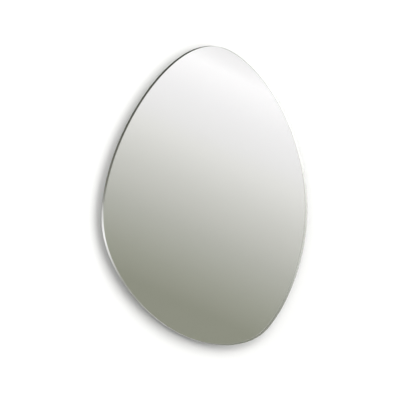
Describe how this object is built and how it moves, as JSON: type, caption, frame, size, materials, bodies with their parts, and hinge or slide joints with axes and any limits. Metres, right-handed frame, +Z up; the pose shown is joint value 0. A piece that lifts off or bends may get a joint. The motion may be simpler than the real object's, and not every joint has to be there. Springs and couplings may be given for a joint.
{
  "type": "irregular shaped mirror",
  "caption": "Frameless wall mirror with an irregular pebble outline and a polished edge, glued to a hidden panel with keyhole plates and rubber bumpers.",
  "frame": {"origin": "on the wall plane, midway between the two hanging points, above the mirror's centre of area", "axes": "+X to the viewer's right, +Y into the wall, +Z up; the wall is the plane Y = 0 and the glass faces -Y"},
  "size_m": [0.55, 0.0245, 0.7],
  "materials": {
    "clear_glass": "clear float glass, ground and polished edge",
    "silver": "mirror silver",
    "backing_paint": "matte grey protective paint film",
    "foam_tape": "closed-cell foam tape",
    "silicone": "cured neutral silicone, satin",
    "painted_board": "fibreboard painted dark, matte",
    "zinc_steel": "zinc-plated sheet steel",
    "screw_steel": "zinc-plated",
    "bumper_rubber": "matte black rubber"
  },
  "bodies": {
    "root": {"mirror_glass": "clear_glass", "silver_coating": "silver", "backing_paint": "backing_paint", "tape_strip_1": "foam_tape", "tape_strip_2": "foam_tape", "tape_strip_3": "foam_tape", "tape_strip_4": "foam_tape", "adhesive_bead_1": "silicone", "adhesive_bead_2": "silicone", "adhesive_bead_3": "silicone", "backing_panel": "painted_board", "keyhole_plate_left": "zinc_steel", "keyhole_plate_right": "zinc_steel", "plate_screw_left_upper": "screw_steel", "plate_screw_left_lower": "screw_steel", "plate_screw_right_upper": "screw_steel", "plate_screw_right_lower": "screw_steel", "wall_bumper_1": "bumper_rubber", "wall_bumper_2": "bumper_rubber", "wall_bumper_3": "bumper_rubber", "wall_bumper_4": "bumper_rubber"}
  },
  "joints": []
}
